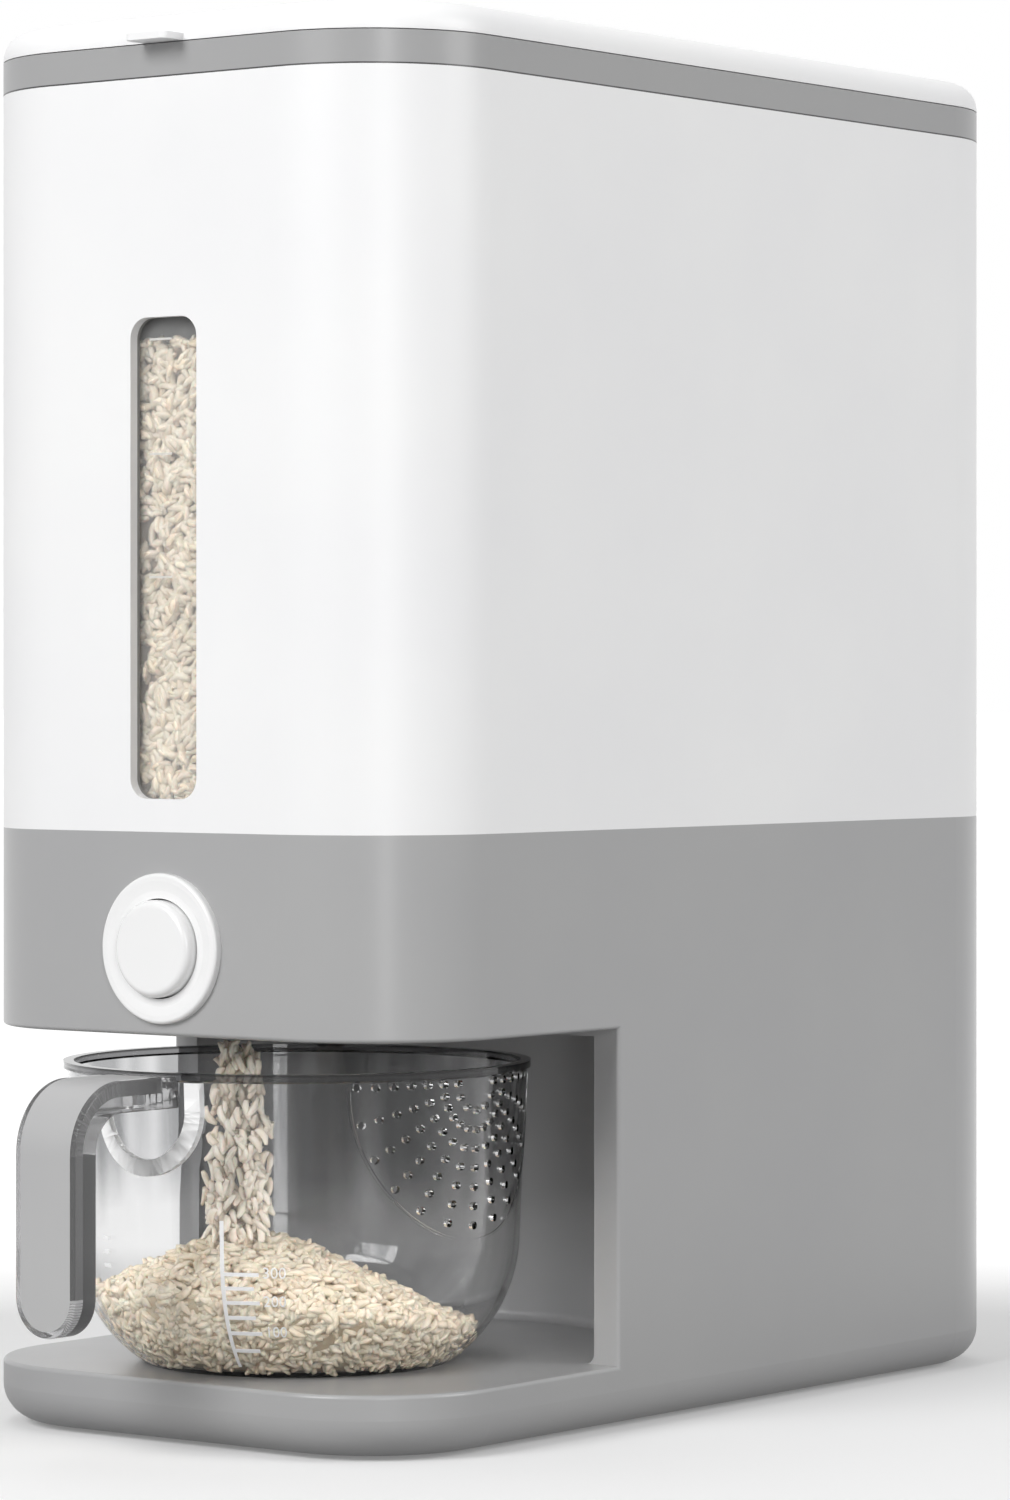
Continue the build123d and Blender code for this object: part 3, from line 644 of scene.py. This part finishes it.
tankLow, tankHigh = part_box("storage_tank")
tankRice = {
    "level": 314.5 * mm,
    "inset": 3.7 * mm,
    "lensGap": 3.6 * mm,
    "cornerRadius": 36 * mm,
    "cornerSteps": 8,
    "mouthInset": 2 * mm,
    "mouthHalf": 10 * mm,
    "outletHalf": 11 * mm,
    "overOutlet": 2 * mm,
    "overSlope": 3 * mm,
    "sideSlope": 35,
    "rearSlope": 21,
    "frontSlope": 40,
}
# Loose grains behind the lens and on top: counts, shares, lengths in millimetres
tankGrains = {
    "seed": 33,
    "window": 900,
    "windowHalf": 14.6,
    "windowLow": 1.5,
    "windowOver": 0.8,
    "windowGaps": (1.15, 2.6),
    "windowFlat": 0.95,
    "windowSizes": (0.88, 1.08),
    "top": 3900,
    "topWallGap": 3,
    "topRise": (-0.4, 0.7),
    "topFlat": 0.85,
    "topSizes": (0.9, 1.1),
}


def slopeOf(name):
    return math.tan(math.radians(tankRice[name]))


def makeTankBed():
    # Body of the stored rice: a block with round upright edges on the hopper's slopes
    mouthLow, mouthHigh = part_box("outlet_chute")
    inset = tankRice["inset"]
    deselectAll()
    bpy.ops.mesh.primitive_cube_add(size=1, location=(0, 0, 0))
    body = bpy.context.object
    body.name = "tankRiceBed"
    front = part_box("level_window")[1].y + tankRice["lensGap"]
    rear = tankHigh.y - inset
    width = tankHigh.x - tankLow.x - 2 * inset
    depth = rear - front
    bpy.ops.object.mode_set(mode="EDIT")
    bpy.ops.mesh.select_all(action="SELECT")
    bpy.ops.transform.resize(value=(width, depth, 1))
    selectEdges(body, lambda a, b: abs(a.z - b.z) > 0.5)
    bpy.ops.mesh.bevel(
        offset=tankRice["cornerRadius"], segments=tankRice["cornerSteps"], affect="EDGES")
    selectFaces(body, lambda normal, place: normal.z < -0.5)
    bpy.ops.mesh.inset(thickness=tankRice["mouthInset"])
    mouth = tankRice["mouthHalf"]
    bpy.ops.transform.resize(value=(mouth / (width / 2), mouth / (depth / 2), 1))
    bpy.ops.object.mode_set(mode="OBJECT")
    outletY = (mouthLow.y + mouthHigh.y) / 2
    outletHalf = tankRice["outletHalf"]
    middle = (front + rear) / 2
    for vert in body.data.vertices:
        if vert.co.z > 0:
            vert.co.y += middle
            vert.co.z = tankRice["level"]
        elif abs(vert.co.x) < outletHalf and abs(vert.co.y) < outletHalf:
            vert.co.y += outletY
            vert.co.z = mouthHigh.z + tankRice["overOutlet"]
        else:
            vert.co.y += middle
            rise = max(
                (abs(vert.co.x) - outletHalf) * slopeOf("sideSlope"),
                (vert.co.y - outletY - outletHalf) * slopeOf("rearSlope"),
                (outletY - outletHalf - vert.co.y) * slopeOf("frontSlope"))
            vert.co.z = mouthHigh.z + rise + tankRice["overSlope"]
    body.data.materials.append(finish["riceBedShade"])
    makeActive(body)
    bpy.ops.object.mode_set(mode="EDIT")
    bpy.ops.mesh.select_all(action="SELECT")
    bpy.ops.mesh.normals_make_consistent(inside=False)
    bpy.ops.object.mode_set(mode="OBJECT")
    smoothByAngle(body)
    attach(body, "housing")


def strewTank(grain):
    rng = random.Random(tankGrains["seed"])
    windowLow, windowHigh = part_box("level_window")
    lowZ = windowLow.z + tankGrains["windowLow"] * mm
    highZ = tankRice["level"] + tankGrains["windowOver"] * mm
    halfWindow = tankGrains["windowHalf"] * mm
    front = []
    for index in range(tankGrains["window"]):
        x = rng.uniform(-1, 1) * halfWindow
        z = rng.uniform(lowZ, highZ)
        y = windowHigh.y + rng.uniform(*tankGrains["windowGaps"]) * mm
        turn = randomTurn(rng, tankGrains["windowFlat"], Vector((0, 1, 0)))
        front.append((Vector((x, y, z)), turn, rng.uniform(*tankGrains["windowSizes"])))
    strewGrains("windowRice", grain, front, "housing")
    wallGap = tankGrains["topWallGap"] * mm
    halfX = tankHigh.x - tankRice["inset"] - wallGap
    halfY = tankHigh.y - tankRice["inset"] - wallGap
    corner = tankRice["cornerRadius"] - wallGap
    top = []
    while len(top) < tankGrains["top"]:
        x = rng.uniform(-halfX, halfX)
        y = rng.uniform(-halfY, halfY)
        overX = abs(x) - (halfX - corner)
        overY = abs(y) - (halfY - corner)
        if overX > 0 and overY > 0 and math.hypot(overX, overY) > corner:
            continue
        z = tankRice["level"] + rng.uniform(*tankGrains["topRise"]) * mm
        turn = randomTurn(rng, tankGrains["topFlat"], Vector((0, 0, 1)))
        top.append((Vector((x, y, z)), turn, rng.uniform(*tankGrains["topSizes"])))
    half = len(top) // 2
    strewGrains("tankRiceA", grain, top[:half], "housing")
    strewGrains("tankRiceB", grain, top[half:], "housing")


grain = makeGrain()
makeHeap()
makeTankBed()
strewHeap(grain)
strewStream(grain)
strewTank(grain)
bpy.data.objects.remove(grain)
print("rice made")


# Printed scale, sight marks and the frosted rib

# The marks stand where the cup's inside holds 50 to 300 millilitres, and the far marks where
# it holds 300 to 400, measured on its solid
scale = {
    "angle": -70,
    "lineZ": (23, 66),
    "marks": (
        (50.88, 10, "300"), (46.85, 8.5, ""), (42.68, 10, "200"),
        (38.28, 8.5, ""), (33.6, 10, "100"), (28.25, 8.5, "")),
    "farAngle": -108.5,
    "farMarks": (50.88, 54.85, 58.75),
    "markHeight": 1.08,
    "farLength": 3.2,
    "lineWidth": 1.2,
    "textSize": 4.6,
    "textGap": 1,
    "textDrop": 1,
    "thickness": 0.1,
    "offWall": 0.05,
}


def addBar(u, v, width, height, cuts):
    # A flat bar on the drawing plane, in millimetres, cut finely enough to follow the wall
    deselectAll()
    bpy.ops.mesh.primitive_plane_add(size=1, location=(0, 0, 0))
    bar = bpy.context.object
    bpy.ops.object.mode_set(mode="EDIT")
    bpy.ops.mesh.select_all(action="SELECT")
    bpy.ops.mesh.subdivide(number_cuts=cuts)
    bpy.ops.transform.resize(value=(width, height, 1))
    bpy.ops.transform.translate(value=(u + width / 2, v + height / 2, 0))
    bpy.ops.object.mode_set(mode="OBJECT")
    return bar


def addNumber(u, v, words):
    deselectAll()
    bpy.ops.object.text_add(location=(u, v, 0))
    number = bpy.context.object
    number.data.body = words
    number.data.size = scale["textSize"]
    number.data.resolution_u = 3
    bpy.ops.object.convert(target="MESH")
    placeInMesh(number)
    return number


def joinPieces(pieces, name):
    deselectAll()
    for piece in pieces:
        piece.select_set(True)
    bpy.context.view_layer.objects.active = pieces[0]
    if len(pieces) > 1:
        bpy.ops.object.join()
    joined = bpy.context.object
    joined.name = name
    return joined


def giveThickness(obj, thickness):
    # Thickness on the side that the faces look to
    makeActive(obj)
    wall = obj.modifiers.new("thickness", "SOLIDIFY")
    wall.thickness = thickness
    wall.offset = 1
    bpy.ops.object.modifier_apply(modifier="thickness")


def wrapOnCup(obj, angle):
    # Drawing plane to wall: across becomes the turn round the axis, up becomes height
    for vert in obj.data.vertices:
        turn = math.radians(angle) + vert.co.x * mm / cupShape["waistRadius"]
        z = vert.co.y * mm
        radius = cupRadius(z) + scale["offWall"] * mm
        vert.co = (cupAxis.x + radius * math.cos(turn), cupAxis.y + radius * math.sin(turn), z)


def makeScale():
    lowZ, highZ = scale["lineZ"]
    line = scale["lineWidth"]
    high = scale["markHeight"]
    near = [addBar(0, lowZ, line, highZ - lowZ, cuts=24)]
    for z, length, words in scale["marks"]:
        near.append(addBar(line, z - high / 2, length, high, cuts=6))
        if words:
            textPlace = line + length + scale["textGap"]
            near.append(addNumber(textPlace, z - scale["textDrop"], words))
    printed = joinPieces(near, "cupScale")
    wrapOnCup(printed, scale["angle"])
    farLength = scale["farLength"]
    far = [addBar(0, z - high / 2, farLength, high, cuts=4) for z in scale["farMarks"]]
    farPrint = joinPieces(far, "cupScaleFar")
    wrapOnCup(farPrint, scale["farAngle"])
    for piece in (printed, farPrint):
        giveThickness(piece, scale["thickness"] * mm)
        piece.data.materials.clear()
        piece.data.materials.append(finish["print"])
        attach(piece, "cup")


sight = {
    "marks": (315.5, 282.7, 247.5),
    "left": -8.6,
    "length": 8.4,
    "width": 0.6,
    "offLens": 0.03 * mm,
    "thickness": 0.08 * mm,
}


def makeSightMarks():
    # Level marks printed on the lens
    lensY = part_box("level_window")[0].y - sight["offLens"]
    length, width = sight["length"], sight["width"]
    bars = [addBar(sight["left"], z, length, width, cuts=1) for z in sight["marks"]]
    piece = joinPieces(bars, "sightMarks")
    for vert in piece.data.vertices:
        vert.co = (vert.co.x * mm, lensY, vert.co.y * mm)
    giveThickness(piece, sight["thickness"])
    piece.data.materials.append(finish["sightPrint"])
    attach(piece, "housing")


socket = {
    "centreZ": 96.8 * mm,
    "inner": 14.5 * mm,
    "outer": 19 * mm,
    "proud": 0.3 * mm,
    "edge": 0.1 * mm,
    "merge": 0.02 * mm,
    "belowRim": 2.65 * mm,
    "thickness": 0.12 * mm,
}


def makeSocketBand():
    # Frosted skin on the U-shaped rib, from a merged copy of the cup's own faces
    source = nodes["measuring_cup"]
    piece = bpy.data.objects.new("socketBand", source.data.copy())
    bpy.context.scene.collection.objects.link(piece)
    makeActive(piece)
    bpy.ops.object.mode_set(mode="EDIT")
    bpy.ops.mesh.select_all(action="SELECT")
    bpy.ops.mesh.remove_doubles(threshold=socket["merge"])
    topZ = cupHigh.z - socket["belowRim"]

    def offRib(normal, place):
        away = math.hypot(place.x - cupAxis.x, place.y - cupAxis.y)
        across = math.hypot(place.x, min(0, place.z - socket["centreZ"]))
        inBand = socket["inner"] - socket["edge"] < across < socket["outer"] + socket["edge"]
        proud = away > cupRadius(place.z) + socket["proud"]
        return not (inBand and proud and place.y < cupAxis.y and place.z < topZ)

    selectFaces(piece, offRib)
    bpy.ops.mesh.delete(type="FACE")
    bpy.ops.object.mode_set(mode="OBJECT")
    giveThickness(piece, socket["thickness"])
    piece.data.materials.clear()
    piece.data.materials.append(finish["frosted"])
    smoothByAngle(piece, 30)
    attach(piece, "cup")


spring = {
    "wire": 1.0 * mm,
    "turns": 6,
    "stepsPerTurn": 24,
    "sides": 10,
    "pressed": 6 * mm,
    "merge": 0.01 * mm,
}


def makeSpring():
    # Coil drawn round the button's axis, along the length of the spring's part
    low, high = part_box("return_spring")
    wire = spring["wire"]
    radius = (high.x - low.x - wire) / 2
    centreZ = (low.z + high.z) / 2
    deselectAll()
    bpy.ops.mesh.primitive_circle_add(
        vertices=spring["sides"], radius=wire / 2, location=(radius, 0, 0))
    piece = bpy.context.object
    piece.name = "springCoil"
    placeInMesh(piece)
    coil = piece.modifiers.new("coil", "SCREW")
    coil.axis = "Y"
    coil.angle = 2 * math.pi
    coil.iterations = spring["turns"]
    coil.steps = spring["stepsPerTurn"]
    coil.render_steps = spring["stepsPerTurn"]
    coil.screw_offset = (high.y - low.y - wire) / spring["turns"]
    bpy.ops.object.modifier_apply(modifier="coil")
    bpy.ops.object.mode_set(mode="EDIT")
    bpy.ops.mesh.select_all(action="SELECT")
    bpy.ops.mesh.remove_doubles(threshold=spring["merge"])
    bpy.ops.mesh.fill_holes(sides=0)
    bpy.ops.mesh.select_all(action="SELECT")
    bpy.ops.mesh.normals_make_consistent(inside=False)
    bpy.ops.transform.translate(value=(0, low.y + wire / 2, centreZ))
    bpy.ops.object.mode_set(mode="OBJECT")
    smoothByAngle(piece, 50)
    piece.data.materials.append(finish["steel"])
    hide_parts("return_spring")
    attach(piece, "housing")
    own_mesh(piece)
    print("springCoil spans:", [round(v, 4) for v in (low.y, high.y)])


makeScale()
makeSightMarks()
makeSocketBand()
makeSpring()
print("prints, rib and spring made")


# Camera and lights

camera = {
    "place": (1.026672, -1.348404, 0.218),
    "turn": 37.34,
    "lens": 132.016,
    "shiftY": -0.04575,
    "sensor": 36,
    "reach": 100,
}
level = (math.radians(90), 0, math.radians(camera["turn"]))
bpy.ops.object.camera_add(location=camera["place"], rotation=level)
view = bpy.context.object
view.name = "photoCamera"
view.data.sensor_fit = "AUTO"
view.data.sensor_width = camera["sensor"]
view.data.lens = camera["lens"]
view.data.shift_y = camera["shiftY"]
view.data.clip_end = camera["reach"]
bpy.context.scene.camera = view


def areaLamp(name, place, aim, width, height, power):
    direction = Vector(aim) - Vector(place)
    turn = direction.to_track_quat("-Z", "Y").to_euler()
    bpy.ops.object.light_add(type="AREA", location=place, rotation=turn)
    lamp = bpy.context.object
    lamp.name = name
    lamp.data.shape = "RECTANGLE"
    lamp.data.size = width
    lamp.data.size_y = height
    lamp.data.energy = power


# Place, aim, width, height and power
lamps = {
    "keyLamp": ((-0.3, -2.9, 1.8), (0, 0, 0.2), 1.6, 1.6, 77),
    "sideLamp": ((2.9, 0.9, 1.5), (0, 0, 0.2), 1.4, 1.6, 46),
    "topLamp": ((-0.7, 0.2, 3.0), (0, 0, 0), 2.0, 2.0, 22),
    "edgeStrip": ((1.9, -1.77, 0.7), (0, 0, 0.2), 0.35, 1.6, 13),
}
for lampName, (place, aim, width, height, power) in lamps.items():
    areaLamp(lampName, place, aim, width, height, power)

studio = {
    "ambient": 0.15,
    "backdrop": 1,
}


def makeWorld():
    # Plain white where it is seen, dim where it lights the object
    world = bpy.data.worlds.new("studio")
    bpy.context.scene.world = world
    world.use_nodes = True
    tree = world.node_tree
    ambient = tree.nodes["Background"]
    backdrop = tree.nodes.new("ShaderNodeBackground")
    for sky, name in ((ambient, "ambient"), (backdrop, "backdrop")):
        sky.inputs["Color"].default_value = (1, 1, 1, 1)
        sky.inputs["Strength"].default_value = studio[name]
    seen = addSeen(tree)[1]
    blend = tree.nodes.new("ShaderNodeMixShader")
    tree.links.new(seen, blend.inputs["Fac"])
    tree.links.new(ambient.outputs["Background"], blend.inputs[1])
    tree.links.new(backdrop.outputs["Background"], blend.inputs[2])
    tree.links.new(blend.outputs["Shader"], tree.nodes["World Output"].inputs["Surface"])


paper = {
    "size": 60,
    "shadowReach": 0.26,
    "whiteFrom": 0.45,
    "lift": 0.2,
    "seenColour": (0.9, 0.9, 0.9, 1),
    "bounceColour": (0.35, 0.35, 0.35, 1),
}


def floorPaper():
    # White paper: it keeps the shadow near the object and runs out to plain white. Its colour
    # fades as it begins to glow, so that far out it is about as bright as the white behind it
    mat, tree, shader = newMaterial("floorPaper")
    shader.inputs["Roughness"].default_value = 0.9
    coords = tree.nodes.new("ShaderNodeTexCoord")
    reach = tree.nodes.new("ShaderNodeVectorMath")
    reach.operation = "LENGTH"
    tree.links.new(coords.outputs["Object"], reach.inputs[0])
    spread = tree.nodes.new("ShaderNodeMapRange")
    spread.inputs["From Min"].default_value = paper["shadowReach"]
    spread.inputs["From Max"].default_value = paper["whiteFrom"]
    spread.inputs["To Min"].default_value = paper["lift"]
    spread.inputs["To Max"].default_value = 1
    tree.links.new(reach.outputs["Value"], spread.inputs["Value"])
    straight, seen = addSeen(tree)
    strength = addMath(tree, "MULTIPLY", spread.outputs["Result"], seen)
    fade = tree.nodes.new("ShaderNodeMix")
    fade.data_type = "RGBA"
    fade.inputs["A"].default_value = paper["seenColour"]
    fade.inputs["B"].default_value = (0, 0, 0, 1)
    tree.links.new(spread.outputs["Result"], fade.inputs["Factor"])
    bounce = tree.nodes.new("ShaderNodeMix")
    bounce.data_type = "RGBA"
    bounce.inputs["A"].default_value = paper["bounceColour"]
    tree.links.new(fade.outputs["Result"], bounce.inputs["B"])
    tree.links.new(straight, bounce.inputs["Factor"])
    tree.links.new(bounce.outputs["Result"], shader.inputs["Base Color"])
    shader.inputs["Emission Color"].default_value = (1, 1, 1, 1)
    tree.links.new(strength, shader.inputs["Emission Strength"])
    return mat


makeWorld()
deselectAll()
bpy.ops.mesh.primitive_plane_add(size=paper["size"], location=(0, 0, 0))
floor = bpy.context.object
floor.name = "studioFloor"
floor.data.materials.append(floorPaper())

bpy.context.scene.view_settings.view_transform = "Standard"
print("camera, lamps and floor placed")
